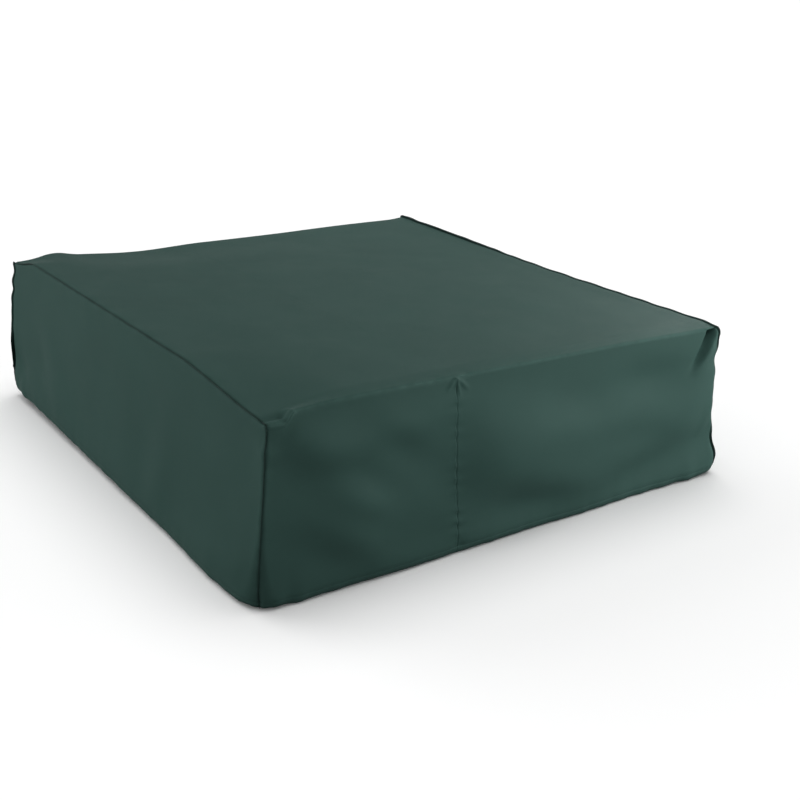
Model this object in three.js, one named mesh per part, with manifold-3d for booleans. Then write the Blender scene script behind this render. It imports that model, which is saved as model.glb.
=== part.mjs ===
// Fitted fabric cover for a square spa: an open-bottomed cloth box that is pulled over the tub.
// Two body strips run from the front hem over the top to the back hem and meet in one long seam,
// and a side panel closes each end. Millimetres, +Z up, origin on the floor under the centre,
// front facing -Y. Every piece is cut from one set of nested skins, each a tapered box.

import * as THREE from 'three';
import { mergeVertices } from 'three/addons/utils/BufferGeometryUtils.js';
import Module from 'manifold-3d';

// Overall shape, on the outer face of the cloth
const SKIRT_HALF = 1150; // half width at the widest level, just above the hem
const TOP_HALF = 1105; // half width at the top edge
const TOP_Z = 694.5; // height of the flat top; the edge seams stand up to 700
const EDGE_RADIUS = 14; // rounding of the top edge
const CORNER_RADIUS_TOP = 16; // plan rounding of an upright corner, at the top
const CORNER_RADIUS_HEM = 120; // and at the hem, where the elastic draws it round
const CORNER_RADIUS_FADE = 5; // power by which the hem's rounding dies away upwards
const WIDEST_Z = 50; // level of the widest point
const HEM_DRAW_IN = 14; // how far the elastic pulls the bottom edge inwards

// Cloth and what is sewn to it
const CLOTH = 2;
const BODY_SEAM_X = -325; // the long seam between the narrow and the wide body strip
const SEAM_GAP = 0.6; // between neighbouring pieces of cloth
const CLEAR = 0.4; // between a piece and what lies on it

// Bound seam that stands out along three edges of each side panel
const BINDING_WIDTH = 12;
const BINDING_THICK = 3;

// Hem casing, a flat tunnel of cloth with the elastic inside
const CASING_HEIGHT = 38;
const CASING_THICK = 8;
const CASING_EDGE = 4; // cloth above and below the tunnel
const ELASTIC_WIDTH = 20;
const ELASTIC_THICK = 2;

// Tape behind the long seam, and rows of thread
const TAPE_WIDTH = 24;
const TAPE_THICK = 0.8;
const THREAD = 1;
const TWIN_ROW_SPACING = 10; // between the two rows on the long seam
const HEM_ROW_Z = 34.5;
const BINDING_ROW_OUT = 8; // of a binding's row from the cloth

const WALL_LEVELS = 5; // levels between the widest point and the top edge
const EDGE_STEPS = 4; // steps round the top edge
const CORNER_STEPS = 8; // steps round an upright corner
const BELOW = -20; // where the skins start, so that each one passes the hem
const SPAN = 6000; // larger than the cover

const CLOTH_GREEN = 0x384b45;
const BINDING_GREEN = 0x2a3a35;
const THREAD_GREEN = 0x40554e;
const TAPE_GREY = 0x5a625f;
const ELASTIC_BLACK = 0x1b1d1d;

const wasm = await Module();
wasm.setup();

function toSolid(geometry) {
  geometry.deleteAttribute('normal');
  geometry.deleteAttribute('uv');
  const merged = mergeVertices(geometry, 1e-3);
  return new wasm.Manifold(new wasm.Mesh({
    numProp: 3,
    vertProperties: new Float32Array(merged.attributes.position.array),
    triVerts: new Uint32Array(merged.index.array),
  }));
}

function toGeometry(solid) {
  const mesh = solid.getMesh();
  const geometry = new THREE.BufferGeometry();
  geometry.setAttribute('position', new THREE.BufferAttribute(mesh.vertProperties, 3));
  geometry.setIndex(new THREE.BufferAttribute(mesh.triVerts, 1));
  geometry.computeVertexNormals();
  return geometry;
}

// Half width of the cover at a height, without the rounding of the top edge
function wallHalf(z) {
  if (z < WIDEST_Z) {
    const down = (WIDEST_Z - Math.max(0, z)) / WIDEST_Z;
    return SKIRT_HALF - HEM_DRAW_IN * down * down;
  }
  const up = Math.min(1, (z - WIDEST_Z) / (TOP_Z - EDGE_RADIUS - WIDEST_Z));
  return SKIRT_HALF + (TOP_HALF - SKIRT_HALF) * up;
}

function cornerRadius(z) {
  const fade = (1 - Math.max(0, z) / TOP_Z) ** CORNER_RADIUS_FADE;
  return CORNER_RADIUS_TOP + (CORNER_RADIUS_HEM - CORNER_RADIUS_TOP) * fade;
}

// Rings from below the hem to the flat top, each with its height, half width and corner radius
function skinLevels(offset) {
  const heights = [BELOW, 0, WIDEST_Z / 2, WIDEST_Z];
  const edgeZ = TOP_Z - EDGE_RADIUS;
  for (let i = 1; i < WALL_LEVELS; i += 1) {
    heights.push(WIDEST_Z + ((edgeZ - WIDEST_Z) * i) / WALL_LEVELS);
  }
  const levels = heights.map((z) => ({
    z,
    half: wallHalf(z) + offset,
    radius: cornerRadius(z) + offset,
  }));
  const round = EDGE_RADIUS + offset;
  for (let i = 0; i <= EDGE_STEPS; i += 1) {
    const angle = ((Math.PI / 2) * i) / EDGE_STEPS;
    const inward = round * (1 - Math.cos(angle));
    levels.push({
      z: edgeZ + round * Math.sin(angle),
      half: TOP_HALF + offset - inward,
      radius: cornerRadius(edgeZ) + offset - inward,
    });
  }
  return levels;
}

// Solid inside the cover's outer face moved outwards by offset: a rounded square, extruded in
// steps, whose rings are then sized to the levels
function skin(offset) {
  const levels = skinLevels(offset);
  const arcCentre = SKIRT_HALF - CORNER_RADIUS_HEM;
  const outline = new THREE.Shape();
  for (let corner = 0; corner < 4; corner += 1) {
    const start = (corner * Math.PI) / 2;
    const x = arcCentre * (corner === 0 || corner === 3 ? 1 : -1);
    const y = arcCentre * (corner < 2 ? 1 : -1);
    outline.absarc(x, y, CORNER_RADIUS_HEM, start, start + Math.PI / 2);
  }
  const geometry = new THREE.ExtrudeGeometry(outline, {
    depth: 1,
    steps: levels.length - 1,
    curveSegments: CORNER_STEPS,
    bevelEnabled: false,
  });
  const position = geometry.attributes.position;
  for (let i = 0; i < position.count; i += 1) {
    const level = levels[Math.round(position.getZ(i) * (levels.length - 1))];
    const centre = level.half - level.radius;
    const place = (value) => {
      const beyond = Math.max(0, Math.abs(value) - arcCentre);
      const along = Math.min(arcCentre, Math.abs(value));
      const size = (along / arcCentre) * centre + (beyond / CORNER_RADIUS_HEM) * level.radius;
      return Math.sign(value) * size;
    };
    position.setXYZ(i, place(position.getX(i)), place(position.getY(i)), level.z);
  }
  return toSolid(geometry);
}

// Everything between two skins, from one height to another
function layer(outer, inner, lowZ, highZ = SPAN / 2) {
  const between = new THREE.BoxGeometry(SPAN, SPAN, highZ - lowZ);
  between.translate(0, 0, (lowZ + highZ) / 2);
  return skin(outer).subtract(skin(inner)).intersect(toSolid(between));
}

// Half space on the side of a plane that its normal points to
function halfSpace(normal, point) {
  const direction = normal.clone().normalize();
  const box = new THREE.BoxGeometry(SPAN, SPAN, SPAN);
  box.translate(0, 0, SPAN / 2);
  box.applyQuaternion(new THREE.Quaternion().setFromUnitVectors(new THREE.Vector3(0, 0, 1), direction));
  box.translate(point.x, point.y, point.z);
  return toSolid(box);
}

// The room of one side panel (side -1 left, +1 right): beyond the planes of its two upright
// corner seams and of its top edge seam, each moved inwards by the inset
function sideRoom(side, inset) {
  const normals = [[side, 1, 0], [side, -1, 0], [side, 0, -1]];
  const [front, back, top] = normals.map((n) => {
    const normal = new THREE.Vector3(...n).normalize();
    const onTopEdge = n[2] === 0 ? new THREE.Vector3() : new THREE.Vector3(side * TOP_HALF, 0, TOP_Z);
    return halfSpace(normal, onTopEdge.addScaledVector(normal, inset));
  });
  return front.intersect(back).intersect(top);
}

// A slice of given width across X
function slice(fromX, toX) {
  const box = new THREE.BoxGeometry(toX - fromX, SPAN, SPAN);
  box.translate((fromX + toX) / 2, 0, 0);
  return toSolid(box);
}

const leftRoom = sideRoom(-1, SEAM_GAP / 2);
const rightRoom = sideRoom(1, SEAM_GAP / 2);
const notSide = sideRoom(-1, -SEAM_GAP / 2).add(sideRoom(1, -SEAM_GAP / 2));
const narrowSlice = slice(-SPAN / 2, BODY_SEAM_X - SEAM_GAP / 2);
const wideSlice = slice(BODY_SEAM_X + SEAM_GAP / 2, SPAN / 2);

const cover = new THREE.Group();

function addPiece(name, solid, color, roughness = 0.6) {
  const material = new THREE.MeshStandardMaterial({ color, roughness, metalness: 0 });
  const mesh = new THREE.Mesh(toGeometry(solid), material);
  mesh.name = name;
  cover.add(mesh);
}

function addPanels() {
  const cloth = layer(0, -CLOTH, CASING_HEIGHT + SEAM_GAP);
  const body = cloth.subtract(notSide);
  addPiece('narrow_body_strip', body.intersect(narrowSlice), CLOTH_GREEN);
  addPiece('wide_body_strip', body.intersect(wideSlice), CLOTH_GREEN);
  addPiece('left_side_panel', cloth.intersect(leftRoom), CLOTH_GREEN);
  addPiece('right_side_panel', cloth.intersect(rightRoom), CLOTH_GREEN);
}

function addHem() {
  const tunnel = layer(-CLOTH, CLOTH - CASING_THICK, CASING_EDGE, CASING_HEIGHT - CASING_EDGE);
  const casing = layer(0, -CASING_THICK, 0, CASING_HEIGHT).subtract(tunnel);
  addPiece('left_hem_casing', casing.intersect(leftRoom), CLOTH_GREEN);
  addPiece('right_hem_casing', casing.intersect(rightRoom), CLOTH_GREEN);
  const ends = [['front', [0, -1, 0]], ['back', [0, 1, 0]]];
  const bodyCasing = casing.subtract(notSide);
  for (const [end, facing] of ends) {
    const half = bodyCasing.intersect(halfSpace(new THREE.Vector3(...facing), new THREE.Vector3()));
    addPiece(`${end}_hem_casing_narrow`, half.intersect(narrowSlice), CLOTH_GREEN);
    addPiece(`${end}_hem_casing_wide`, half.intersect(wideSlice), CLOTH_GREEN);
  }
  const mid = -CASING_THICK / 2;
  const lowest = (CASING_HEIGHT - ELASTIC_WIDTH) / 2;
  const band = layer(mid + ELASTIC_THICK / 2, mid - ELASTIC_THICK / 2, lowest, lowest + ELASTIC_WIDTH);
  addPiece('hem_elastic', band, ELASTIC_BLACK, 0.8);
  const row = layer(CLEAR + THREAD, CLEAR, HEM_ROW_Z, HEM_ROW_Z + THREAD);
  addPiece('hem_stitching', row, THREAD_GREEN, 0.7);
}

// The binding follows the edge of a side panel's room, so it turns each corner in one length.
// The hem's row of thread passes through its foot.
function addBindings() {
  const half = BINDING_THICK / 2;
  const rowPassage = layer(THREAD + 2 * CLEAR, 0, HEM_ROW_Z - CLEAR, HEM_ROW_Z + THREAD + CLEAR);
  const flange = layer(BINDING_WIDTH, CLEAR, THREAD).subtract(rowPassage);
  const row = layer(BINDING_ROW_OUT + THREAD, BINDING_ROW_OUT, CASING_HEIGHT);
  for (const [name, side] of [['left', -1], ['right', 1]]) {
    const fold = sideRoom(side, -half).subtract(sideRoom(side, half));
    addPiece(`${name}_seam_binding`, flange.intersect(fold), BINDING_GREEN);
    const rowStart = -half - CLEAR;
    const line = sideRoom(side, rowStart - THREAD).subtract(sideRoom(side, rowStart));
    addPiece(`${name}_binding_stitching`, row.intersect(line), THREAD_GREEN, 0.7);
  }
}

function addBodySeam() {
  const start = CASING_HEIGHT + SEAM_GAP;
  const tape = layer(-CLOTH - CLEAR, -CLOTH - CLEAR - TAPE_THICK, start);
  const half = TAPE_WIDTH / 2;
  addPiece('body_seam_tape', tape.intersect(slice(BODY_SEAM_X - half, BODY_SEAM_X + half)), TAPE_GREY);
  const row = layer(CLEAR + THREAD, CLEAR, start);
  for (const [name, side] of [['left', -1], ['right', 1]]) {
    const x = BODY_SEAM_X + (side * TWIN_ROW_SPACING) / 2;
    const line = row.intersect(slice(x - THREAD / 2, x + THREAD / 2));
    addPiece(`body_seam_stitching_${name}`, line, THREAD_GREEN, 0.7);
  }
}

addPanels();
addHem();
addBindings();
addBodySeam();

export default cover;
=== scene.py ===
"""Visual model of a fitted cloth cover for a square spa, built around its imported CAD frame.

Every surface starts on one sharp-edged box that widens a little towards the floor. rounded()
turns a point of that box into a point of the cloth at rest, the simulated drape moves it, and
surface() adds swells, puckers, folds and drooping corners. All of them depend only on the point
of the box, so neighbouring pieces meet exactly at their seams. Metres, +Z up, front facing -Y.
"""

import math

import bpy
import numpy as np
from mathutils import Matrix, Vector


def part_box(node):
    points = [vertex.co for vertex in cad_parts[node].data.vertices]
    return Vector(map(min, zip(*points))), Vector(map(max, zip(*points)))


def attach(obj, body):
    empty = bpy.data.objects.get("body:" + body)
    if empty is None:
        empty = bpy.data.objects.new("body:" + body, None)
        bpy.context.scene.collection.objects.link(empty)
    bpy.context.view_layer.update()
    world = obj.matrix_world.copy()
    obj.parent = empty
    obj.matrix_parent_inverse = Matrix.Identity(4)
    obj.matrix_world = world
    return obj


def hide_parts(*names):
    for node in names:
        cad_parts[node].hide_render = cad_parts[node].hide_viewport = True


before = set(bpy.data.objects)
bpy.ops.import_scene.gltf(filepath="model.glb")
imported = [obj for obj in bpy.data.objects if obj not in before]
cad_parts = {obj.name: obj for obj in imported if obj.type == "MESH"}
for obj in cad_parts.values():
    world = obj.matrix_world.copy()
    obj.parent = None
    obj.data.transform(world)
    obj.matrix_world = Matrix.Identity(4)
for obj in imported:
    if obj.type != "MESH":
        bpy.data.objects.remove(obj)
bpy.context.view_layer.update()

# Overall shape, from the frame
SKIRT_HALF = -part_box("left_side_panel")[0].x
TOP_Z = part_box("wide_body_strip")[1].z
CASING_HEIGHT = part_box("left_hem_casing")[1].z
SEAM_X = (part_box("body_seam_tape")[0].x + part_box("body_seam_tape")[1].x) / 2
TAPE_HALF = (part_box("body_seam_tape")[1].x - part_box("body_seam_tape")[0].x) / 2

# Overall shape, as in the CAD source
TOP_HALF = 1.105
WIDEST_Z = 0.05
HEM_DRAW_IN = 0.014
CORNER_RADIUS_TOP = 0.014
CORNER_RADIUS_HEM = 0.12
CORNER_RADIUS_FADE = 5
FOLD_RADIUS_FRONT = 0.022
FOLD_RADIUS_BACK = 0.04
FOLD_REACH = 0.12  # distance from a side edge at which a fold has its full radius
PANEL_FOOT = 0.0355  # height at which the panels start, behind the hem casings

# Seams and thread
TWIN_ROW_SPACING = 0.010
HEM_ROW_Z = 0.0345
BINDING_WIDTH = 0.0115
BINDING_HALF_THICK = 0.0012
TAPE_DEPTHS = (-0.0016, -0.0022)  # outer and inner face, outwards from the cloth
ELASTIC_DEPTHS = (-0.0022, -0.0040)
STITCH_PITCH = 0.0042
STITCH_LENGTH = 0.0034
STITCH_RADIUS = 0.0005

# Cloth
CLOTH_THICK = 0.0011
STEP_FINE = 0.004  # grid spacing at seams, folds and hem
STEP_COARSE = 0.013
STEP_REACH = 0.22  # distance from those over which the spacing grows
SEAM_CLOTH = 0.006  # half width of the raised cloth of the long seam

# Simulation of the drape
DRAPE_STEP = 0.036
DRAPE_FRAMES = 36
SPA_INSET = 0.011  # the hidden spa is this much smaller than the cover
SLACK = 0.0025  # share by which the cloth is larger than the shape it starts from


# ---------------------------------------------------------------- surface of the cover

def smooth(low, high, value):
    """0 below low, 1 above high, smooth between them."""
    t = np.clip((value - low) / (high - low), 0, 1)
    return t * t * (3 - 2 * t)


def waves(values, wavelength, seed, count=14):
    """Smooth random field over the columns of values, about -1 to 1, seeded."""
    values = np.atleast_2d(values.T).T
    rng = np.random.default_rng(seed)
    total = np.zeros(len(values))
    for _ in range(count):
        direction = rng.normal(size=values.shape[1])
        direction /= np.linalg.norm(direction)
        length = wavelength * rng.uniform(0.7, 1.6)
        total += np.cos(2 * np.pi * (values @ direction) / length + rng.uniform(0, 2 * np.pi))
    return total * math.sqrt(2 / count) / 1.6


def wall_half(z):
    """Half width of the box at a height."""
    down = np.clip((WIDEST_Z - z) / WIDEST_Z, 0, 1)
    up = np.clip((z - WIDEST_Z) / (TOP_Z - WIDEST_Z), 0, 1)
    return SKIRT_HALF - HEM_DRAW_IN * down**2 + (TOP_HALF - SKIRT_HALF) * up


def corner_radius(z):
    fade = (1 - np.clip(z, 0, TOP_Z) / TOP_Z) ** CORNER_RADIUS_FADE
    return CORNER_RADIUS_TOP + (CORNER_RADIUS_HEM - CORNER_RADIUS_TOP) * fade


def rounded(box):
    """Points of the cloth at rest and their outward directions, for points of the sharp box."""
    x, y, z = box.T
    half = wall_half(z)
    fold = FOLD_RADIUS_FRONT + (FOLD_RADIUS_BACK - FOLD_RADIUS_FRONT) * smooth(-1, 1, y)
    inside = smooth(0, FOLD_REACH, half - np.abs(x))
    edge = CORNER_RADIUS_TOP + (fold - CORNER_RADIUS_TOP) * inside
    plan = corner_radius(z)
    plan_y = plan + (edge - CORNER_RADIUS_TOP) * smooth(TOP_Z - 0.1, TOP_Z, z)
    radii = np.stack([plan, plan_y, edge], 1)
    inner = np.stack([half - plan, half - plan_y, TOP_Z - edge], 1)
    size = np.stack([np.abs(x), np.abs(y), z], 1)
    out = np.clip((size - inner) / radii, 0, 1)
    out /= np.linalg.norm(out, axis=1, keepdims=True)
    sign = np.stack([np.sign(x), np.sign(y), np.ones_like(z)], 1)
    return (np.minimum(size, inner) + radii * out) * sign, out * sign


# ---------------------------------------------------------------- grids on the box

def marks(start, end, fine_at=(), fine=STEP_FINE, coarse=STEP_COARSE, reach=STEP_REACH):
    """Marks from start to end, close together near the places named and near both ends."""
    at = np.linspace(start, end, 8001)
    away = np.min([np.abs(at - place) for place in (start, end, *fine_at)], 0)
    spacing = fine + (coarse - fine) * np.clip(away / reach, 0, 1)
    count = np.concatenate([[0], np.cumsum((at[1] - at[0]) / spacing[1:])])
    steps = math.ceil(count[-1])
    return np.interp(np.linspace(0, count[-1], steps + 1), count, at)


def even_marks(start, end, step):
    return np.linspace(start, end, max(2, round((end - start) / step) + 1))


def strip_path(heights, depths):
    """Rows (y share, z) of a strip from the front hem over the top to the back hem."""
    up = [(-1.0, z) for z in heights]
    over = [(y, TOP_Z) for y in depths[1:-1]]
    down = [(1.0, z) for z in heights[::-1]]
    return up + over + down


def strip_grid(path, shares, edge_side):
    """Box points of a body strip, with shares 0 at the long seam and 1 at the side edge."""
    rows = []
    for y_share, z in path:
        half = wall_half(z)
        x = SEAM_X + (edge_side * half - SEAM_X) * shares
        y = np.full_like(x, y_share * half)
        rows.append(np.stack([x, y, np.full_like(x, z)], 1))
    return np.array(rows)


def side_grid(heights, shares, side):
    """Box points of a side panel, with shares -1 at the front corner and 1 at the back one."""
    rows = []
    for z in heights:
        half = wall_half(z)
        y = shares * half
        rows.append(np.stack([np.full_like(y, side * half), y, np.full_like(y, z)], 1))
    return np.array(rows)


# ---------------------------------------------------------------- simulated drape

class Drape:
    """How far the simulated cloth moved, kept on a coarse grid of each face of the box."""

    FACES = ("top", "front", "back", "left", "right")

    def __init__(self):
        self.across = even_marks(-1, 1, DRAPE_STEP / TOP_HALF)
        self.up = even_marks(0, 1, DRAPE_STEP / TOP_Z)
        self.moved = {}

    def face_box(self, face):
        """Box points of one face, rows along its second mark list."""
        if face == "top":
            u, v = np.meshgrid(self.across, self.across)
            height = np.full_like(u, TOP_Z)
            return np.stack([u * TOP_HALF, v * TOP_HALF, height], 2)
        u, v = np.meshgrid(self.across, self.up)
        half = wall_half(v * TOP_Z)
        side = {"front": -1, "back": 1, "left": -1, "right": 1}[face] * half
        if face in ("front", "back"):
            return np.stack([u * half, side, v * TOP_Z], 2)
        return np.stack([side, u * half, v * TOP_Z], 2)

    def run(self):
        """Simulates the cloth over the hidden spa and keeps what it moved."""
        grids = {face: self.face_box(face) for face in self.FACES}
        every = np.concatenate([grid.reshape(-1, 3) for grid in grids.values()])
        _, first, index = np.unique(np.round(every, 6), axis=0, return_index=True, return_inverse=True)
        index = index.reshape(-1)
        faces = []
        start = 0
        for face, grid in grids.items():
            rows, columns = grid.shape[:2]
            number = index[start:start + rows * columns].reshape(rows, columns)
            start += rows * columns
            faces.extend(quads_of(number, face in ("back", "left")))
        box = every[first]
        rest, out = rounded(box)
        begin = rest + out * (broad(box) + 0.0006 * waves(box, 0.2, 4))[:, None]
        cloth = new_mesh("drape_cloth", begin, faces)
        spa = new_mesh("drape_spa", rest - out * SPA_INSET, faces)
        simulate(cloth, spa, np.nonzero(box[:, 2] < 0.02)[0])
        moved = evened(read_points(cloth) - rest, faces)
        for item in (cloth, spa):
            bpy.data.objects.remove(item, do_unlink=True)
        start = 0
        for face, grid in grids.items():
            rows, columns = grid.shape[:2]
            picked = index[start:start + rows * columns]
            start += rows * columns
            self.moved[face] = moved[picked].reshape(rows, columns, 3)

    def at(self, box):
        """Movement at box points, cubic between the coarse marks."""
        if not self.moved:
            return rounded(box)[1] * broad(box)[:, None]
        half = wall_half(box[:, 2])
        u = box[:, 0] / half
        v = box[:, 1] / half
        w = box[:, 2] / TOP_Z
        on_top = w > 1 - 1e-7
        on_end = ~on_top & (np.abs(v) >= np.abs(u))
        where = {
            "top": (on_top, u, v),
            "front": (on_end & (v < 0), u, w),
            "back": (on_end & (v > 0), u, w),
            "left": (~on_top & ~on_end & (u < 0), v, w),
            "right": (~on_top & ~on_end & (u > 0), v, w),
        }
        result = np.zeros((len(box), 3))
        for face, (chosen, first, second) in where.items():
            rows = self.across if face == "top" else self.up
            result[chosen] = cubic(self.moved[face], rows, self.across, second[chosen], first[chosen])
        return result


def cubic_weights(knots, at):
    """For each value, the four even knots around it and their Catmull-Rom weights."""
    step = knots[1] - knots[0]
    place = np.clip((at - knots[0]) / step, 0, len(knots) - 1 - 1e-9)
    base = np.floor(place).astype(int)
    t = place - base
    index = np.clip(base[:, None] + np.arange(-1, 3), 0, len(knots) - 1)
    weight = np.stack([
        -0.5 * t + t**2 - 0.5 * t**3,
        1 - 2.5 * t**2 + 1.5 * t**3,
        0.5 * t + 2 * t**2 - 1.5 * t**3,
        -0.5 * t**2 + 0.5 * t**3,
    ], 1)
    return index, weight


def cubic(grid, row_knots, column_knots, rows, columns):
    row_index, row_weight = cubic_weights(row_knots, rows)
    column_index, column_weight = cubic_weights(column_knots, columns)
    picked = grid[row_index[:, :, None], column_index[:, None, :]]
    return np.einsum("nijk,ni,nj->nk", picked, row_weight, column_weight)


def simulate(cloth, spa, pinned):
    """Lets the cloth settle over the spa, with its hem held."""
    collide = spa.modifiers.new("spa", "COLLISION")
    collide.settings.thickness_outer = 0.004
    collide.settings.cloth_friction = 12
    hem = cloth.vertex_groups.new(name="hem")
    hem.add([int(i) for i in pinned], 1.0, "REPLACE")
    settings = cloth.modifiers.new("drape", "CLOTH").settings
    settings.quality = 6
    settings.mass = 0.25
    settings.tension_stiffness = 40
    settings.compression_stiffness = 40
    settings.shear_stiffness = 20
    settings.bending_stiffness = 6
    settings.tension_damping = 25
    settings.compression_damping = 25
    settings.air_damping = 6
    settings.vertex_group_mass = "hem"
    settings.shrink_min = -SLACK
    collision = cloth.modifiers["drape"].collision_settings
    collision.collision_quality = 2
    collision.distance_min = 0.004
    collision.use_self_collision = False
    cache = cloth.modifiers["drape"].point_cache
    cache.frame_start = 1
    cache.frame_end = DRAPE_FRAMES
    for number in range(1, DRAPE_FRAMES + 1):
        bpy.context.scene.frame_set(number)
    settled = cloth.evaluated_get(bpy.context.evaluated_depsgraph_get()).to_mesh()
    points = np.empty(len(settled.vertices) * 3)
    settled.vertices.foreach_get("co", points)
    cloth.modifiers.clear()
    cloth.data.vertices.foreach_set("co", points)
    bpy.context.scene.frame_set(1)


def evened(values, faces, rounds=4):
    """Values at mesh points averaged with their neighbours, which takes out the finest wrinkles."""
    faces = np.array(faces)
    ends = np.concatenate([faces[:, [k, (k + 1) % 4]] for k in range(4)])
    ends = np.concatenate([ends, ends[:, ::-1]])
    count = np.bincount(ends[:, 0])[:, None]
    for _ in range(rounds):
        total = np.zeros_like(values)
        np.add.at(total, ends[:, 0], values[ends[:, 1]])
        values = (values + total / count) / 2
    return values


def read_points(item):
    points = np.empty(len(item.data.vertices) * 3)
    item.data.vertices.foreach_get("co", points)
    return points.reshape(-1, 3)


# ---------------------------------------------------------------- shape of the cloth

def oval(box, centre, half_length, half_width, along, across):
    """Smooth oval spot, 1 at its centre, with its long axis along one direction."""
    away = box - np.array(centre)
    along = np.array(along) / np.linalg.norm(along)
    across = np.array(across) / np.linalg.norm(across)
    return np.exp(-((away @ along) / half_length) ** 2 - ((away @ across) / half_width) ** 2)


def swells(across, up, on_face, spots):
    """Soft oval swells on one face, one for each row of spots."""
    height = np.zeros(len(across))
    for at_across, at_up, half_length, half_width, lean, rise in spots:
        turn = math.radians(lean)
        a, u = across - at_across, up - at_up
        along = math.cos(turn) * a + math.sin(turn) * u
        beside = math.cos(turn) * u - math.sin(turn) * a
        height += rise * np.exp(-(along / half_length) ** 2 - (beside / half_width) ** 2)
    return height * on_face


def ridge(box, start, end, width):
    """Smooth ridge along the line from start to end, fading at both ends."""
    start, end = np.array(start), np.array(end)
    line = end - start
    t = np.clip((box - start) @ line / (line @ line), 0, 1)
    away = np.linalg.norm(box - start - t[:, None] * line, axis=1)
    return np.exp(-(away / width) ** 2) * (0.35 + 0.65 * np.sin(np.pi * np.clip(t, 0.02, 0.98)))


def broad(box):
    """Slack of the cloth that the simulation starts from, outwards."""
    on_wall = smooth(TOP_Z, TOP_Z - 0.25, box[:, 2]) * smooth(0, 0.15, box[:, 2])
    height = 0.006 * on_wall * waves(box, 0.7, 11)
    on_top = smooth(TOP_Z - 0.02, TOP_Z, box[:, 2])
    inside = smooth(0, 0.3, wall_half(box[:, 2]) - np.abs(box[:, :2]).max(1))
    return height + on_top * inside * (0.004 * waves(box[:, :2], 0.9, 12) - 0.006)


# Rows of swells: across, up, half length, half width, lean in degrees, rise.
# FRONT_FOLDS was not chosen by hand. A separate least-squares program printed its rows, fitted to the
# brightness of the front wall in the photograph. TOP_SWELLS and LEFT_FOLDS are listed one by one.
FRONT_FOLDS = (
    (-0.68, 0.55, 0.36, 0.087, 4, 0.031),
    (-0.85, 0.51, 0.23, 0.081, -29, 0.039),
    (-0.69, 0.37, 0.32, 0.072, -42, -0.021),
    (-0.80, 0.21, 0.22, 0.084, -33, 0.032),
    (-0.53, 0.11, 0.65, 0.066, -2, -0.009),
    (-0.20, 0.34, 0.31, 0.180, 30, 0.029),
    (-0.52, 0.52, 0.18, 0.065, -31, 0.012),
    (0.08, 0.25, 0.52, 0.137, -31, 0.030),
    (0.14, 0.11, 0.32, 0.085, -9, -0.030),
    (-0.36, 0.28, 0.12, 0.180, -55, -0.026),
    (0.61, 0.28, 0.52, 0.075, -10, -0.012),
    (0.72, 0.56, 0.12, 0.123, -7, 0.006),
    (0.77, 0.13, 0.31, 0.086, 10, -0.039),
    (0.16, 0.40, 0.36, 0.106, -15, 0.039),
    (-0.22, 0.50, 0.65, 0.150, -1, -0.032),
    (-0.72, 0.32, 0.18, 0.074, -23, 0.039),
    (0.73, 0.51, 0.21, 0.102, -3, -0.039),
)
TOP_SWELLS = (
    (-0.93, -0.70, 0.14, 0.30, 0, -0.002),
    (-0.93, 0.30, 0.12, 0.45, 0, 0.002),
    (-0.55, -0.40, 0.35, 0.35, 0, 0.001),
    (0.10, -0.50, 0.40, 0.40, 0, 0.001),
    (0.10, 0.40, 0.40, 0.40, 0, 0.001),
    (0.75, -0.20, 0.30, 0.60, 0, 0.002),
    (-0.30, 0.85, 0.60, 0.20, 0, -0.001),
)
LEFT_FOLDS = (
    (-0.29, 0.26, 0.16, 0.13, 0, -0.004),
    (0.77, 0.28, 0.10, 0.09, 0, -0.006),
    (1.02, 0.16, 0.09, 0.055, 20, -0.018),
    (0.10, 0.56, 0.90, 0.08, 0, 0.003),
    (-0.75, 0.40, 0.25, 0.20, 0, 0.002),
)


def folds(box):
    """Soft folds and swells of the front, the top and the left wall. They hang with the droop."""
    on_front = smooth(-1.02, -1.10, box[:, 1])
    on_left = smooth(-1.02, -1.10, box[:, 0])
    on_top = smooth(TOP_Z - 0.02, TOP_Z, box[:, 2])
    inside = smooth(0, 0.1, wall_half(box[:, 2]) - np.abs(box[:, :2]).max(1))
    hung = box[:, 2] - droop(box)
    height = swells(box[:, 0], hung, on_front, FRONT_FOLDS)
    height -= 0.008 * on_front * np.exp(-((TOP_Z - box[:, 2]) / 0.09) ** 2)
    height += swells(box[:, 1], hung, on_left, LEFT_FOLDS)
    return height + swells(box[:, 0], box[:, 1], on_top * inside, TOP_SWELLS)


def to_corner(box):
    """Distance from the nearest upright corner seam."""
    half = wall_half(box[:, 2])
    return np.hypot(half - np.abs(box[:, 0]), half - np.abs(box[:, 1]))


def to_side_edge(box):
    """Distance from the nearest bound top edge."""
    return np.hypot(wall_half(box[:, 2]) - np.abs(box[:, 0]), TOP_Z - box[:, 2])


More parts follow.
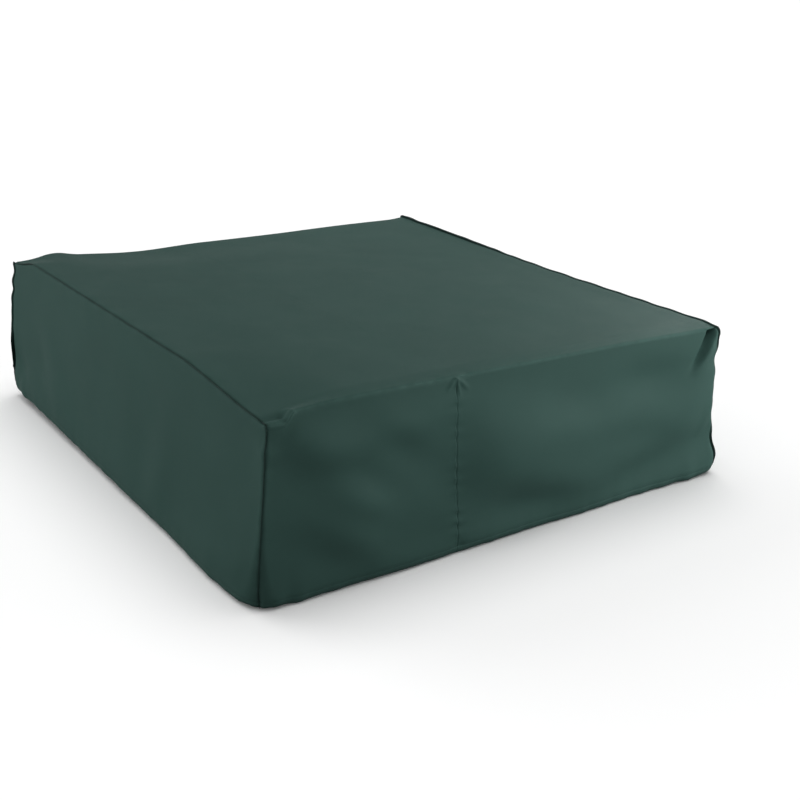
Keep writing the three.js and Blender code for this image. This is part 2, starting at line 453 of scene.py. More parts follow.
def gathers(box):
    """Puckers at the bound seams, the hem and the long seam, outwards."""
    corner, edge = to_corner(box), to_side_edge(box)
    height = 0.0022 * np.exp(-corner / 0.035) * waves(box[:, 2], 0.11, 21)
    height += 0.0012 * np.exp(-edge / 0.03) * waves(box[:, 1], 0.16, 22)
    height -= 0.0008 * np.exp(-(np.minimum(corner, edge) / 0.006) ** 2)
    strength = 0.0012 + 0.005 * np.exp(-(corner / 0.22) ** 2)
    height += strength * np.exp(-box[:, 2] / 0.06) * waves(box[:, :2], 0.085, 23)
    from_seam = np.abs(box[:, 0] - SEAM_X)
    on_wall = smooth(TOP_Z, TOP_Z - 0.05, box[:, 2]) * smooth(1.09, 1.10, np.abs(box[:, 1]))
    pucker = np.exp(-from_seam / 0.022) * waves(box[:, 2], 0.045, 24)
    raised = smooth(SEAM_CLOTH * 1.4, SEAM_CLOTH * 0.6, from_seam)
    height += on_wall * (0.0034 * pucker + 0.0006 * raised)
    height -= on_wall * 0.0022 * np.exp(-(from_seam / 0.003) ** 2)
    height += (0.0001 + 0.0004 * smooth(TOP_Z, TOP_Z - 0.1, box[:, 2])) * waves(box, 0.26, 26)
    return height


def seam_fan(box):
    """Short ridges that spread down the front wall from the top of the long seam."""
    top = (SEAM_X, -TOP_HALF, TOP_Z - 0.012)
    height = np.zeros(len(box))
    for reach, drop, rise in ((0.055, 0.060, 0.007), (0.018, 0.085, 0.006), (-0.04, 0.050, 0.007)):
        end = (SEAM_X + reach, -TOP_HALF, TOP_Z - drop)
        height += rise * ridge(box, top, end, 0.007)
    for away in (-0.085, 0.05):
        spot = (SEAM_X + away, -TOP_HALF, TOP_Z - 0.006)
        height -= 0.004 * oval(box, spot, 0.030, 0.010, (1, 0, 0.3), (-0.3, 0, 1))
    foot = (SEAM_X + 0.01, -SKIRT_HALF, 0.04)
    height -= 0.006 * oval(box, foot, 0.03, 0.015, (1, 0, 0), (0, 0, 1))
    return height * smooth(-1.06, -1.10, box[:, 1])


def droop(box):
    """Downward sag of the slack corners, where the spa's own corner doesn't reach the cloth."""
    half = wall_half(box[:, 2])
    from_left = half + box[:, 0]
    from_right = half - box[:, 0]
    from_front = half + box[:, 1]
    from_back = half - box[:, 1]
    below = TOP_Z - box[:, 2]
    high = smooth(0.3, 0.0, below)
    at_back = smooth(0.5, 0.0, from_back)
    at_front = smooth(0.07, 0.01, from_front)
    spread = 0.014 + 0.4 * below
    step = 0.7 * smooth(0.088 + spread, 0.088 - spread, from_left) + 0.3 * smooth(0.3, 0.05, from_left)
    slope = smooth(0.36, -0.05, from_left)
    near_corner = at_front * step + (1 - at_front) * slope
    sag = 0.046 * near_corner * smooth(0.62, 0.0, from_front) * high
    sag += 0.044 * smooth(0.22, 0.0, from_left) * smooth(0.26, 0.02, from_back) * high
    middle = smooth(0.1, 0.7, from_left) * smooth(0.4, 1.5, from_right)
    sag += 0.022 * middle * at_back * high
    beside_left_back = smooth(0.12, 0.3, from_left) * smooth(0.95, 0.45, from_left)
    sag += 0.020 * beside_left_back * at_back * high
    sag += 0.008 * smooth(0.6, 0.0, from_right) * smooth(0.7, 1.3, from_back) * high
    sag -= 0.016 * smooth(0.9, 0.0, from_right) * smooth(0.9, 0.0, from_back) * smooth(0.4, 0.0, below)
    return sag


def right_front_pleat(box):
    """Sharp ridge running down from the right front corner, with a deep pocket on its left."""
    on_wall = smooth(-1.0, -1.09, box[:, 1])
    x, below = box[:, 0], TOP_Z - box[:, 2]
    turn = math.atan2(0.15, 0.10)  # slope of the ridge, down and to the left
    right, down = x - TOP_HALF, below - 0.012
    along = down * math.sin(turn) - right * math.cos(turn)
    across = right * math.sin(turn) + down * math.cos(turn)
    fade = smooth(0.25, 0.10, along) * smooth(-0.02, 0.02, along)
    side = np.where(across < 0, 0.008, 0.040)
    height = 0.022 * fade * np.exp(-(across / side) ** 2)
    deep = 0.014 + 0.026 * smooth(0.11, 0.03, along)
    height -= deep * fade * np.exp(-((across + 0.019) / 0.012) ** 2)
    height -= 0.030 * np.exp(-((x - TOP_HALF + 0.034) / 0.016) ** 2 - ((below - 0.020) / 0.024) ** 2)
    height *= smooth(-0.002, 0.014, below)
    low = ((TOP_HALF + 0.02, -SKIRT_HALF, 0.34), (TOP_HALF - 0.06, -SKIRT_HALF, 0.22))
    return on_wall * height + 0.008 * ridge(box, *low, 0.022)


def left_front_lip(box):
    """Rim and riser of the step at the left front corner, a groove behind it and a dip below."""
    half = wall_half(box[:, 2])
    on_wall = smooth(-1.07, -1.10, box[:, 1])
    from_left, from_front = half + box[:, 0], half + box[:, 1]
    below = TOP_Z - box[:, 2]
    beside = smooth(0.110, 0.090, from_left)
    rim = beside * np.exp(-((below - 0.008) / 0.007) ** 2)
    riser = np.exp(-((from_left - 0.100) / 0.012) ** 2 - ((below - 0.006) / 0.012) ** 2)
    under = smooth(0.16, 0.07, from_left) * np.exp(-((below - 0.055) / 0.032) ** 2)
    groove = beside * np.exp(-((from_front - 0.034) / 0.012) ** 2) * smooth(0.01, 0.0, below)
    return on_wall * (0.006 * rim + 0.005 * riser - 0.003 * under) - 0.005 * groove


drape = Drape()


def to_upright(box, side, end):
    """Distance from one upright corner seam: side -1 left or +1 right, end -1 front or +1 back."""
    half = wall_half(box[:, 2])
    return np.hypot(half - side * box[:, 0], half - end * box[:, 1])


def pulled(box):
    """How the cloth is pulled along and away from the walls, as it was tugged down unevenly."""
    down = 1 - box[:, 2] / TOP_Z
    low = smooth(0.34, 0.05, box[:, 2])
    shift = np.zeros_like(box)
    on_front = smooth(-0.8, -1.05, box[:, 1])
    near_seam = np.exp(-((box[:, 0] - SEAM_X) / 0.45) ** 2)
    shift[:, 0] += on_front * near_seam * (0.032 * down - 0.010)
    left_back = np.exp(-(to_upright(box, -1, 1) / 1.2) ** 2)
    shift[:, 2] += 0.024 * left_back * down
    shift[:, 0] += 0.024 * left_back * down
    left_back_foot = np.exp(-(to_upright(box, -1, 1) / 0.10) ** 2) * smooth(0.15, 0.02, box[:, 2])
    shift[:, 0] -= 0.010 * left_back_foot
    shift[:, 1] += 0.010 * left_back_foot
    on_left = smooth(-0.8, -1.05, box[:, 0])
    shift[:, 0] -= 0.016 * on_left * low * np.exp(-((box[:, 1] + 0.88) / 0.30) ** 2)
    right_front = np.exp(-(to_upright(box, 1, -1) / 0.20) ** 2)
    flare = right_front * (0.45 * smooth(0.34, 0.20, box[:, 2]) + 0.55 * smooth(0.20, 0.06, box[:, 2]))
    shift[:, 0] += 0.070 * flare
    shift[:, 1] -= 0.012 * flare
    return shift


def surface(box, lift=0.0):
    """Points of the finished cloth and outward directions, for points of the sharp box."""
    shape = box.shape
    box = box.reshape(-1, 3)
    rest, out = rounded(box)
    height = folds(box) + gathers(box) + seam_fan(box) + lift
    height += right_front_pleat(box) + left_front_lip(box)
    points = rest + drape.at(box) + pulled(box) + out * height[:, None]
    points[:, 2] -= droop(box)
    points[:, 2] = np.maximum(points[:, 2], 0.0002)
    return points.reshape(shape), out.reshape(shape)


# ---------------------------------------------------------------- meshes

def new_mesh(name, points, faces):
    name = name + "_shown"
    mesh = bpy.data.meshes.new(name)
    mesh.from_pydata(np.asarray(points).reshape(-1, 3).tolist(), [], faces)
    mesh.update()
    item = bpy.data.objects.new(name, mesh)
    bpy.context.scene.collection.objects.link(item)
    return item


cover_pieces = bpy.data.collections.new("cover_pieces")


def add_uv(item, values):
    """A UV layer in metres from one (u, v) for each vertex."""
    layer = item.data.uv_layers.new(name="cloth")
    corners = np.empty(len(item.data.loops), int)
    item.data.loops.foreach_get("vertex_index", corners)
    layer.data.foreach_set("uv", values.reshape(-1, 2)[corners].ravel())


def add_value(item, name, values):
    attribute = item.data.attributes.new(name, "FLOAT", "POINT")
    attribute.data.foreach_set("value", np.asarray(values, np.float32).ravel())


def finish_piece(item, node, material):
    """Gives a new piece its material, smooth faces and body, and puts it among the cover pieces; it
    stands for the CAD node of its name, which is hidden.
    """
    cover_pieces.objects.link(item)
    item.data.materials.append(material)
    item.data.polygons.foreach_set("use_smooth", [True] * len(item.data.polygons))
    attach(item, "root")
    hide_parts(node)
    return item


def quads_of(number, flip=False):
    """Four-sided faces between a grid of vertex numbers."""
    quads = np.stack([number[:-1, :-1], number[:-1, 1:], number[1:, 1:], number[1:, :-1]], 2)
    return quads[..., ::-1 if flip else 1].reshape(-1, 4).tolist()


def grid_faces(rows, columns, flip=False):
    return quads_of(np.arange(rows * columns).reshape(rows, columns), flip)


def tube_faces(rings, corners, closed=False):
    """Faces of a skin over rings of corners, capped at both ends unless it closes on itself."""
    number = np.arange(rings * corners).reshape(rings, corners)
    if closed:
        number = np.concatenate([number, number[:1]], 0)
    number = np.concatenate([number, number[:, :1]], 1)
    faces = quads_of(number)
    if not closed:
        faces.append(list(range(corners)))
        faces.append(list(range(rings * corners - 1, (rings - 1) * corners - 1, -1)))
    return faces


def tube_piece(name, rings, closed=False):
    """Closed mesh over an array of rings, facing outwards."""
    item = new_mesh(name, rings, tube_faces(rings.shape[0], rings.shape[1], closed))
    face_outwards(item)
    return item


def sharpen_border(item, rows, columns):
    """Marks the outer edges of a grid mesh as sharp, so that its rim doesn't bend its shading."""
    ends = np.empty(len(item.data.edges) * 2, int)
    item.data.edges.foreach_get("vertices", ends)
    row, column = np.divmod(ends.reshape(-1, 2), columns)
    border = (row == 0).all(1) | (row == rows - 1).all(1)
    border |= (column == 0).all(1) | (column == columns - 1).all(1)
    sharp = item.data.attributes.new("sharp_edge", "BOOLEAN", "EDGE")
    sharp.data.foreach_set("value", border)


def face_outwards(item):
    """Turns the faces of a closed mesh outwards."""
    bpy.context.view_layer.update()
    points = read_points(item)
    item.data.calc_loop_triangles()
    corners = np.array([t.vertices[:] for t in item.data.loop_triangles])
    a, b, c = points[corners[:, 0]], points[corners[:, 1]], points[corners[:, 2]]
    if (a * np.cross(b, c)).sum() < 0:
        item.data.flip_normals()


# ---------------------------------------------------------------- pieces

WALL_MARKS = marks(PANEL_FOOT, TOP_Z)
CROSS_MARKS = marks(-1, 1, fine=STEP_FINE / TOP_HALF, coarse=STEP_COARSE / TOP_HALF,
                    reach=STEP_REACH / TOP_HALF)


def edge_wear(box):
    """Where the cloth rubs: along the folds, bound seams and the hem."""
    fold = np.hypot(wall_half(box[:, 2]) - np.abs(box[:, 1]), TOP_Z - box[:, 2])
    nearest = np.minimum(np.minimum(fold, to_side_edge(box)), to_corner(box))
    return np.maximum(np.exp(-nearest / 0.012), 0.6 * np.exp(-box[:, 2] / 0.02))


def panel(name, box, uv, flip, materials):
    """One panel of cloth, closed, with its coated inner face in a second material."""
    rows, columns = box.shape[:2]
    points, _ = surface(box)
    item = new_mesh(name, points, grid_faces(rows, columns, flip))
    sharpen_border(item, rows, columns)
    add_uv(item, uv)
    add_value(item, "wear", edge_wear(box.reshape(-1, 3)))
    finish_piece(item, name, materials[0])
    item.data.materials.append(materials[1])
    thick = item.modifiers.new("thickness", "SOLIDIFY")
    thick.thickness = CLOTH_THICK
    thick.offset = -1
    thick.material_offset = 1
    return item


def body_strip(name, edge_side, materials):
    width = abs(edge_side * TOP_HALF - SEAM_X)
    shares = marks(0, 1, fine=STEP_FINE / width, coarse=STEP_COARSE / width, reach=STEP_REACH / width)
    path = strip_path(WALL_MARKS, CROSS_MARKS)
    box = strip_grid(path, shares, edge_side)
    run = run_along(box[:, 0])
    uv = np.stack([box[..., 0], np.broadcast_to(run[:, None], box.shape[:2])], 2)
    return panel(name, box, uv, edge_side < 0, materials)


def side_panel(name, side, materials):
    box = side_grid(WALL_MARKS, CROSS_MARKS, side)
    return panel(name, box, box[..., 1:], side < 0, materials)


def casing_section():
    """Outline of the hem tunnel: (height, outwards), down the outer face and up the inner one."""
    outer = [(0.0375, -0.0016), (0.0362, -0.0004), (0.0345, -0.0012), (0.0325, 0.0004)]
    outer += [(0.027, 0.0016), (0.020, 0.0021), (0.012, 0.0018), (0.006, 0.0008)]
    inner = [(0.0015, -0.0015), (0.0004, -0.0035), (0.0018, -0.0056), (0.007, -0.0072)]
    inner += [(0.016, -0.0078), (0.026, -0.0070), (0.033, -0.0048), (0.0368, -0.0028)]
    return outer + inner


def hem_casing(name, face, from_share, to_share, materials):
    """Flat tunnel at the foot of one wall. Shares are along the wall, -1 to 1 or at the seam."""
    section = casing_section()
    span = TOP_HALF * 2
    shares = marks(0, 1, fine=STEP_FINE / span, coarse=0.010 / span, reach=0.3)
    rings = []
    uv = []
    for share in shares:
        ring = []
        for z, outwards in section:
            half = wall_half(z)
            start = SEAM_X if from_share is None else from_share * half
            end = SEAM_X if to_share is None else to_share * half
            at = start + (end - start) * share
            side = -half if face in ("front", "left") else half
            spot = (at, side, z) if face in ("front", "back") else (side, at, z)
            ring.append((*spot, outwards))
        rings.append(ring)
        uv.append([(ring[0][0] + ring[0][1], z) for z, _ in section])
    rings = np.array(rings, float)
    points, _ = surface(rings[..., :3].copy(), rings[..., 3].ravel())
    item = tube_piece(name, points)
    add_uv(item, np.array(uv, float))
    add_value(item, "wear", edge_wear(rings[..., :3].reshape(-1, 3)))
    return finish_piece(item, name, materials[0])


def ring_path(z, per_side):
    """Box points once round the cover at one height, that many on each side."""
    half = float(wall_half(z))
    side = np.linspace(-half, half, per_side + 1)[:-1]
    flat = np.full_like(side, half)
    front = np.stack([side, -flat], 1)
    right = np.stack([flat, side], 1)
    back = np.stack([-side, flat], 1)
    left = np.stack([-flat, -side], 1)
    plan = np.concatenate([front, right, back, left])
    return np.concatenate([plan, np.full((len(plan), 1), z)], 1)


def hem_elastic(material):
    """Flat ribbed band inside the tunnel."""
    low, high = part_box("hem_elastic")
    heights = np.linspace(low.z, high.z, 9)
    rings = []
    outer, inner = ELASTIC_DEPTHS
    for z, out in [(z, outer) for z in heights] + [(z, inner) for z in heights[::-1]]:
        path = ring_path(z, 190)
        rings.append(surface(path, out)[0])
    rings = np.array(rings).transpose(1, 0, 2)
    item = tube_piece("hem_elastic", rings, closed=True)
    return finish_piece(item, "hem_elastic", material)


def seam_tape(material):
    """Sealing tape on the inside of the long seam."""
    path = strip_path(marks(CASING_HEIGHT + 0.002, TOP_Z), CROSS_MARKS)
    across = np.linspace(-TAPE_HALF, TAPE_HALF, 9)
    outer, inner = TAPE_DEPTHS
    sides = [(offset, outer) for offset in across] + [(offset, inner) for offset in across[::-1]]
    box = []
    for y_share, z in path:
        half = float(wall_half(z))
        box.append([(SEAM_X + offset, y_share * half, z, out) for offset, out in sides])
    box = np.array(box)
    points, _ = surface(box[..., :3].copy(), box[..., 3].ravel())
    item = tube_piece("body_seam_tape", points)
    return finish_piece(item, "body_seam_tape", material)


def seam_route(side, step=STEP_FINE):
    """Box points along a side panel's bound seam, from the front hem to the back hem."""
    heights = even_marks(0.0005, TOP_Z, step)
    half = wall_half(heights)
    front = np.stack([side * half, -half, heights], 1)
    depths = even_marks(-TOP_HALF, TOP_HALF, step)[1:-1]
    top = np.stack([np.full_like(depths, side * TOP_HALF), depths, np.full_like(depths, TOP_Z)], 1)
    back = (front * (1, -1, 1))[::-1]
    return np.concatenate([front, top, back])


def run_along(points):
    """Distance along a row of points, from its first one."""
    steps = np.linalg.norm(np.diff(points, axis=0), axis=1)
    return np.concatenate([[0], np.cumsum(steps)])


def along_route(points):
    """Unit directions along a row of points."""
    step = np.gradient(points, axis=0)
    return step / np.linalg.norm(step, axis=1, keepdims=True)


def binding_fold(route, side):
    """How far a binding leans over along its route, in radians, and its extra width as a share."""
    y, z = route[:, 1], route[:, 2]
    if side < 0:
        in_front = smooth(-1.0, -1.1, y)
        # Near the left back corner the near-black binding is laid onto the left wall and widened: partly
        # a turned-over binding, partly a dark strip that paints the shade beside the corner seam.
        pulled_over_and_painted_shade = smooth(1.0, 1.1, y) * smooth(0.10, 0.14, z) * smooth(0.34, 0.24, z)
        return 0.36 * in_front - 0.14 - 1.0 * pulled_over_and_painted_shade, 0.9 * pulled_over_and_painted_shade - 0.35 * in_front
    lifted = smooth(0.1, 0.6, y) * smooth(TOP_Z - 0.05, TOP_Z, z)
    tucked = smooth(-1.08, -1.1, y) * smooth(0.18, 0.26, z) * smooth(0.64, 0.56, z)
    return 1.3 * tucked - 0.75 * lifted, 0.4 * lifted


def binding_frame(side):
    """Foot, outward and sideways directions and length of a binding along its route."""
    route = seam_route(side)
    foot, out = surface(route)
    ahead = along_route(foot)
    out = out - (out * ahead).sum(1, keepdims=True) * ahead
    out /= np.linalg.norm(out, axis=1, keepdims=True)
    sideways = np.cross(ahead, out)
    run = run_along(foot)
    fold, wider = binding_fold(route, side)
    lean = fold + 0.08 * waves(run, 0.30, 31 + side)
    turned = out * np.cos(lean)[:, None] + sideways * np.sin(lean)[:, None]
    beside = sideways * np.cos(lean)[:, None] - out * np.sin(lean)[:, None]
    width = BINDING_WIDTH * (1 + wider + 0.05 * waves(run, 0.20, 51 + side))
    return foot, turned, beside, width, run


def binding_section():
    """Outline of a binding as shares of its width and half thickness, with a rolled edge."""
    half = [(-0.15, 0.85), (0.2, 0.95), (0.45, 0.8), (0.62, 0.72), (0.78, 1.0), (0.92, 0.85), (1.0, 0.35)]
    return half + [(out, -thick) for out, thick in half[::-1]]


def seam_binding(name, side, material):
    foot, out, beside, width, run = binding_frame(side)
    rings = []
    for share, half in binding_section():
        rings.append(foot + out * (share * width)[:, None] + beside * (half * BINDING_HALF_THICK))
    rings = np.array(rings).transpose(1, 0, 2)
    rings[..., 2] = np.maximum(rings[..., 2], 0.0)
    item = tube_piece(name, rings)
    shares = np.array([share for share, _ in binding_section()])
    uv = np.stack(np.broadcast_arrays(run[:, None], shares[None] * BINDING_WIDTH), 2)
    add_uv(item, uv)
    return finish_piece(item, name, material)


def capsule():
    """One stitch of unit length and radius: ring centres along it and the ring radii."""
    along = np.array([-0.5, -0.42, -0.2, 0.2, 0.42, 0.5])
    radius = np.array([0.35, 0.85, 1.0, 1.0, 0.85, 0.35])
    return along, radius


def stitches(points, out, length, radius, sink=1.1, corners=6):
    """Vertices and faces of a row of stitches, one at each point, along the row."""
    ahead = along_route(points)
    beside = np.cross(ahead, out)
    beside /= np.linalg.norm(beside, axis=1, keepdims=True)
    up = np.cross(beside, ahead)
    along, width = capsule()
    turn = np.linspace(0, 2 * np.pi, corners, endpoint=False)
    arch = -radius * (np.abs(along) * 2) ** 3 * 0.9
    verts = (
        points[:, None, None]
        + ahead[:, None, None] * (along * length)[None, :, None, None]
        + up[:, None, None] * (arch + radius * (1 - sink))[None, :, None, None]
        + beside[:, None, None] * (np.cos(turn)[None, :] * width[:, None] * radius)[None, :, :, None]
        + up[:, None, None] * (np.sin(turn)[None, :] * width[:, None] * radius)[None, :, :, None]
    )
    size = len(along) * corners
    one = np.array(tube_faces(len(along), corners)[:-2])
    caps = [list(range(corners)), list(range(size - 1, size - corners - 1, -1))]
    faces = []
    for number in range(len(points)):
        faces.extend((one + number * size).tolist())
        faces.extend([[index + number * size for index in cap] for cap in caps])
    return verts.reshape(-1, 3), faces


def resample(points, out, pitch):
    """The row again, with its points a pitch apart."""
    run = run_along(points)
    count = int(run[-1] / pitch)
    at = (np.arange(count) + 0.5) * pitch
    picked = np.stack([np.interp(at, run, points[:, k]) for k in range(3)], 1)
    facing = np.stack([np.interp(at, run, out[:, k]) for k in range(3)], 1)
    return picked, facing / np.linalg.norm(facing, axis=1, keepdims=True)


def thread_piece(name, rows, material):
    """A piece made of rows of stitches, each a pair of points and outward directions."""
    points, faces = [], []
    start = 0
    for row, facing in rows:
        verts, quads = stitches(*resample(row, facing, STITCH_PITCH), STITCH_LENGTH, STITCH_RADIUS)
        points.append(verts)
        faces.extend([[index + start for index in quad] for quad in quads])
        start += len(verts)
    item = new_mesh(name, np.concatenate(points), faces)
    face_outwards(item)
    return finish_piece(item, name, material)


def binding_thread(name, side, material):
    foot, out, beside, width, _ = binding_frame(side)
    rows = []
    for face in (1, -1):
        row = foot + out * (0.55 * width)[:, None] + beside * (face * 0.0009)
        rows.append((row[4:-4], beside[4:-4] * face))
    return thread_piece(name, rows, material)


def long_seam_thread(name, side, material):
    heights = even_marks(CASING_HEIGHT + 0.003, TOP_Z, 0.003)
    depths = even_marks(-1, 1, 0.003 / TOP_HALF)
    box = []
    for y_share, z in strip_path(heights, depths):
        half = float(wall_half(z))
        box.append((SEAM_X + side * TWIN_ROW_SPACING / 2, y_share * half, z))
    return thread_piece(name, [surface(np.array(box))], material)


def hem_thread(material):
    path = ring_path(HEM_ROW_Z, 760)
    points, out = surface(np.concatenate([path, path[:1]]), -0.0006)
    return thread_piece("hem_stitching", [(points, out)], material)


# ---------------------------------------------------------------- materials

WAVE_PERIOD = 2 * math.pi / 20  # metres from band to band of a wave texture at scale 1


def new_material(name):
    material = bpy.data.materials.new(name)
    material.use_nodes = True
    nodes, links = material.node_tree.nodes, material.node_tree.links
    return material, nodes, links, nodes["Principled BSDF"]


def add_node(nodes, kind, **values):
    """A node with its properties, or its input sockets by name, set."""
    node = nodes.new(kind)
    for name, value in values.items():
        if hasattr(node, name):
            setattr(node, name, value)
        else:
            node.inputs[name.replace("_", " ")].default_value = value
    return node


def noise_at(nodes, links, coordinates, scale, detail=3.0):
    node = add_node(nodes, "ShaderNodeTexNoise", Scale=scale, Detail=detail, Roughness=0.55)
    links.new(coordinates, node.inputs["Vector"])
    return node.outputs["Fac"]


def remap(nodes, links, value, low, high, to_low, to_high):
    node = nodes.new("ShaderNodeMapRange")
    for name, number in zip(("From Min", "From Max", "To Min", "To Max"), (low, high, to_low, to_high)):
        node.inputs[name].default_value = number
    links.new(value, node.inputs["Value"])
    return node.outputs["Result"]


def blend_colours(nodes, links, share, first, second):
    node = nodes.new("ShaderNodeMix")
    node.data_type = "RGBA"
    links.new(share, node.inputs["Factor"])
    for socket, colour in ((node.inputs[6], first), (node.inputs[7], second)):
        if isinstance(colour, tuple):
            socket.default_value = (*colour, 1)
        else:
            links.new(colour, socket)
    return node.outputs[2]


def weave_height(nodes, links, uv, pitch):
    """Height of a plain weave, 0 to 1, from UVs in metres."""
    outputs = []
    for direction in ("X", "Y"):
        wave = add_node(nodes, "ShaderNodeTexWave", wave_type="BANDS", bands_direction=direction,
                        wave_profile="SIN")
        wave.inputs["Scale"].default_value = WAVE_PERIOD / pitch
        wave.inputs["Distortion"].default_value = 0.0
        links.new(uv, wave.inputs["Vector"])
        outputs.append(wave.outputs["Fac"])
    product = add_node(nodes, "ShaderNodeMath", operation="MULTIPLY")
    links.new(outputs[0], product.inputs[0])
    links.new(outputs[1], product.inputs[1])
    return product.outputs[0]


def add_bump(nodes, links, height, distance, strength, before=None):
    node = nodes.new("ShaderNodeBump")
    node.inputs["Strength"].default_value = strength
    node.inputs["Distance"].default_value = distance
    links.new(height, node.inputs["Height"])
    if before is not None:
        links.new(before, node.inputs["Normal"])
    return node.outputs["Normal"]


def cloth_material(name, dark, light, worn, gloss_low, gloss_high):
    """Coated woven polyester: mottled colour, fine weave, faint crumple and rubbed edges."""
    material, nodes, links, shader = new_material(name)
    place = nodes.new("ShaderNodeTexCoord").outputs["Object"]
    uv = nodes.new("ShaderNodeUVMap").outputs["UV"]
    mottle = remap(nodes, links, noise_at(nodes, links, place, 3.0), 0.3, 0.7, 0, 1)
    colour = blend_colours(nodes, links, mottle, dark, light)
    wear = nodes.new("ShaderNodeAttribute")
    wear.attribute_name = "wear"
    rubbed = add_node(nodes, "ShaderNodeMath", operation="MULTIPLY")
    links.new(wear.outputs["Fac"], rubbed.inputs[0])
    patchy = remap(nodes, links, noise_at(nodes, links, place, 28), 0.35, 0.75, 0.05, 0.8)
    links.new(patchy, rubbed.inputs[1])
    links.new(blend_colours(nodes, links, rubbed.outputs[0], colour, worn), shader.inputs["Base Color"])
    smudge = noise_at(nodes, links, place, 6.5, 5.0)
    links.new(remap(nodes, links, smudge, 0.3, 0.7, gloss_low, gloss_high), shader.inputs["Roughness"])
    crumple = add_bump(nodes, links, noise_at(nodes, links, place, 24, 4.0), 0.0005, 0.12)
    grain = add_bump(nodes, links, noise_at(nodes, links, place, 140, 3.0), 0.0004, 0.35, crumple)
    weave = add_bump(nodes, links, weave_height(nodes, links, uv, 0.0011), 0.0002, 0.5, grain)
    links.new(weave, shader.inputs["Normal"])
    shader.inputs["Specular IOR Level"].default_value = 0.03
    return material


def ribbed_material(name, dark, light, pitch, roughness):
    """Narrow woven tape or elastic with ribs across it."""
    material, nodes, links, shader = new_material(name)
    place = nodes.new("ShaderNodeTexCoord").outputs["Object"]
    fibres = noise_at(nodes, links, place, 320, 2.0)
    links.new(blend_colours(nodes, links, fibres, dark, light), shader.inputs["Base Color"])
    ribs = add_node(nodes, "ShaderNodeTexWave", wave_type="BANDS", bands_direction="DIAGONAL")
    ribs.inputs["Scale"].default_value = WAVE_PERIOD / pitch
    ribs.inputs["Distortion"].default_value = 0.4
    links.new(place, ribs.inputs["Vector"])
    fine = add_bump(nodes, links, ribs.outputs["Fac"], 0.0003, 0.6)
    links.new(add_bump(nodes, links, fibres, 0.0002, 0.4, fine), shader.inputs["Normal"])
    links.new(remap(nodes, links, fibres, 0.3, 0.7, roughness - 0.08, roughness + 0.08),
              shader.inputs["Roughness"])
    shader.inputs["Specular IOR Level"].default_value = 0.06
    return material


def thread_with_painted_light_material():
    """Twisted polyester thread: its own green, made lighter than the cloth's as painted light that
    offsets the shade of the raised stitches.
    """
    material, nodes, links, shader = new_material("sewing_thread_with_painted_light")
    place = nodes.new("ShaderNodeTexCoord").outputs["Object"]
    strands = noise_at(nodes, links, place, 900, 2.0)
    # thread green lighter than the cloth: painted light against the shade of the stitches
    links.new(blend_colours(nodes, links, strands, (0.0105, 0.0335, 0.0272), (0.0130, 0.0400, 0.0330)),
              shader.inputs["Base Color"])
    links.new(add_bump(nodes, links, strands, 0.0002, 0.5), shader.inputs["Normal"])
    links.new(remap(nodes, links, strands, 0.3, 0.7, 0.42, 0.6), shader.inputs["Roughness"])
    shader.inputs["Specular IOR Level"].default_value = 0.1
    return material


def plain_stage(name, colour, roughness):
    material, _, _, shader = new_material(name)
    shader.inputs["Base Color"].default_value = (*colour, 1)
    shader.inputs["Roughness"].default_value = roughness
    shader.inputs["Specular IOR Level"].default_value = 0.1
    return material


# ---------------------------------------------------------------- camera, light and floor

FLOOR_HALF = 60

# A separate least-squares program fitted the camera to the photograph's corners and outline
CAMERA_PLACE = (-2.78, -3.84, 1.95)
CAMERA_ANGLES = (-38.75, 20.5, 4.2)  # azimuth, elevation and roll in degrees
CAMERA_LENS = 50.1


def add_camera():
    """Camera left of the front corner, looking down a little, slightly rolled."""
    azimuth, elevation, roll = (math.radians(angle) for angle in CAMERA_ANGLES)
    back = Vector((math.sin(azimuth) * math.cos(elevation),
                   -math.cos(azimuth) * math.cos(elevation), math.sin(elevation)))
    right = Vector((math.cos(azimuth), math.sin(azimuth), 0))
    up = back.cross(right)
    rolled_right = math.cos(roll) * right + math.sin(roll) * up
    rolled_up = -math.sin(roll) * right + math.cos(roll) * up
    camera = bpy.data.objects.new("camera", bpy.data.cameras.new("camera"))
    turned = Matrix((rolled_right, rolled_up, back)).transposed().to_4x4()
    camera.matrix_world = Matrix.Translation(CAMERA_PLACE) @ turned
    camera.data.sensor_width = 36
    camera.data.lens = CAMERA_LENS
    bpy.context.scene.collection.objects.link(camera)
    bpy.context.scene.camera = camera


def add_area_light(name, place, target, size, power, reflected=True):
    """Studio light that reaches the cover but not the floor, which would throw it back up."""
    light = bpy.data.lights.new(name, "AREA")
    light.shape = "RECTANGLE"
    light.size, light.size_y = size
    light.energy = power
    item = bpy.data.objects.new(name, light)
    item.location = place
    item.rotation_euler = (Vector(target) - Vector(place)).to_track_quat("-Z", "Y").to_euler()
    item.visible_camera = False
    item.visible_glossy = reflected
    item.light_linking.receiver_collection = cover_pieces
    bpy.context.scene.collection.objects.link(item)


def add_sun(name, towards, strength, spread):
    """Soft sun from a direction, which lights the whole floor evenly."""
    light = bpy.data.lights.new(name, "SUN")
    light.energy = strength
    light.angle = math.radians(spread)
    item = bpy.data.objects.new(name, light)
    item.rotation_euler = Vector(towards).to_track_quat("Z", "Y").to_euler()
    bpy.context.scene.collection.objects.link(item)


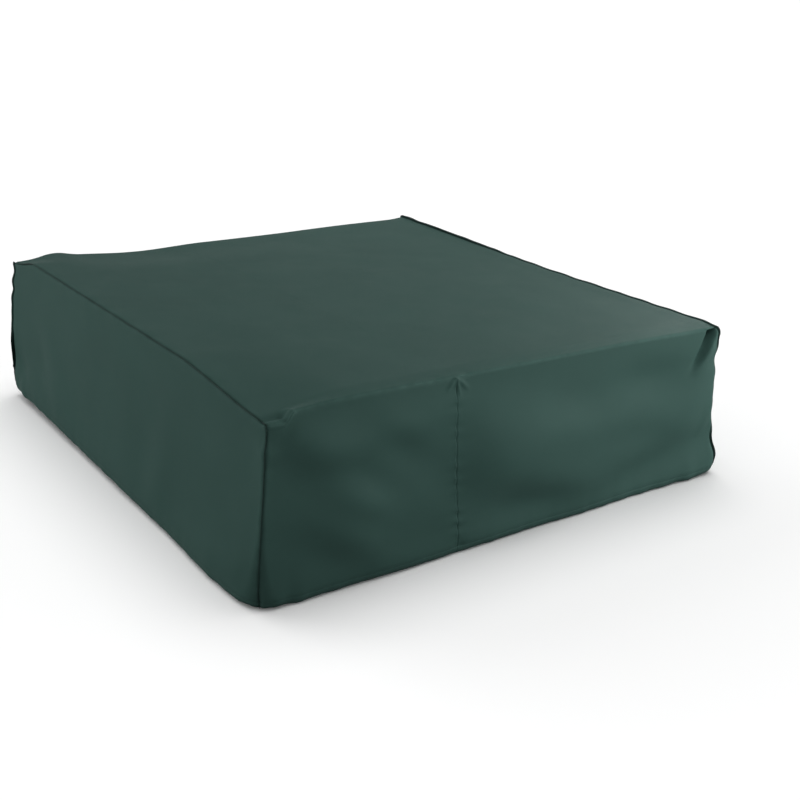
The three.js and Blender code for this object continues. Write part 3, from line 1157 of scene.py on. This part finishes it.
def add_stage():
    corners = [(x * FLOOR_HALF, y * FLOOR_HALF, -0.001) for x, y in ((-1, -1), (1, -1), (1, 1), (-1, 1))]
    floor = new_mesh("floor", corners, [(0, 1, 2, 3)])
    floor.data.materials.append(plain_stage("pale_floor", (0.92, 0.92, 0.92), 0.9))
    bpy.context.scene.world = studio_world()
    bpy.context.scene.view_settings.view_transform = "Standard"
    add_sun("overhead", (0.1, 0.1, 1.0), 2.0, 60)
    add_sun("behind", (-0.5, 0.9, 0.5), 0.65, 40)
    # Powers but back_top's come from results of a least-squares fit, and four changed since
    add_area_light("key", (1.9, -2.5, 2.9), (0.5, -0.9, 0.4), (1.0, 1.0), 74)
    add_area_light("low_key", (2.6, -2.6, 1.0), (0.8, -1.0, 0.4), (1, 1), 97)
    add_area_light("front_bar", (0.4, -1.75, 0.74), (0.4, -1.1, 0.6), (2.2, 0.1), 4.6)
    add_area_light("back_light", (4.6, 5.2, 2.6), (0.5, 0.5, 0.7), (4, 2), 20)
    add_area_light("back_top", (0.6, 2.0, 1.8), (0.4, 0.9, 0.7), (1.4, 0.8), 14, reflected=False)
    add_area_light("left_fill", (-5.0, 1.5, 2.0), (-1.1, 0.2, 0.3), (3, 2.5), 203)
    add_area_light("right_fill", (4.0, 0.0, 2.0), (1.1, 0, 0.5), (2.5, 2), 138)


def studio_world():
    """White around the horizon, dimmer overhead."""
    world = bpy.data.worlds.new("studio")
    world.use_nodes = True
    nodes, links = world.node_tree.nodes, world.node_tree.links
    split = nodes.new("ShaderNodeSeparateXYZ")
    links.new(nodes.new("ShaderNodeTexCoord").outputs["Generated"], split.inputs[0])
    links.new(remap(nodes, links, split.outputs["Z"], 0.3, 0.55, 1.03, 0.3),
              nodes["Background"].inputs["Strength"])
    nodes["Background"].inputs["Color"].default_value = (1, 1, 1, 1)
    return world


# ---------------------------------------------------------------- the cover

def build_cover():
    cloth = cloth_material("green_cloth", (0.0137, 0.0310, 0.0266), (0.0149, 0.0334, 0.0287),
                           (0.024, 0.050, 0.043), 0.65, 0.70)
    coating = cloth_material("coated_inside", (0.030, 0.048, 0.042), (0.036, 0.056, 0.049),
                             (0.05, 0.07, 0.062), 0.30, 0.42)
    # binding tape's own dark green, made near black so that it also paints the shade along the seam
    # flanges
    tape = ribbed_material("binding_tape_and_painted_shade", (0.003, 0.009, 0.0075), (0.005, 0.014, 0.012), 0.0012, 0.7)
    sealing = ribbed_material("sealing_tape", (0.09, 0.10, 0.10), (0.12, 0.13, 0.13), 0.0009, 0.4)
    rubber = ribbed_material("black_elastic", (0.006, 0.006, 0.006), (0.02, 0.02, 0.02), 0.0016, 0.8)
    thread = thread_with_painted_light_material()
    cloths = (cloth, coating)
    for face in ("left", "right"):
        hem_casing(f"{face}_hem_casing", face, -1, 1, cloths)
    for face in ("front", "back"):
        hem_casing(f"{face}_hem_casing_narrow", face, -1, None, cloths)
        hem_casing(f"{face}_hem_casing_wide", face, None, 1, cloths)
    for face, side in (("left", -1), ("right", 1)):
        seam_binding(f"{face}_seam_binding", side, tape)
        binding_thread(f"{face}_binding_stitching", side, thread)
        long_seam_thread(f"body_seam_stitching_{face}", side, thread)
    hem_elastic(rubber)
    hem_thread(thread)
    seam_tape(sealing)

    for size, side in (("narrow", -1), ("wide", 1)):
        strip = body_strip(f"{size}_body_strip", side, cloths)
    for face, side in (("left", -1), ("right", 1)):
        closing = side_panel(f"{face}_side_panel", side, cloths)


drape.run()
add_camera()
add_stage()
build_cover()
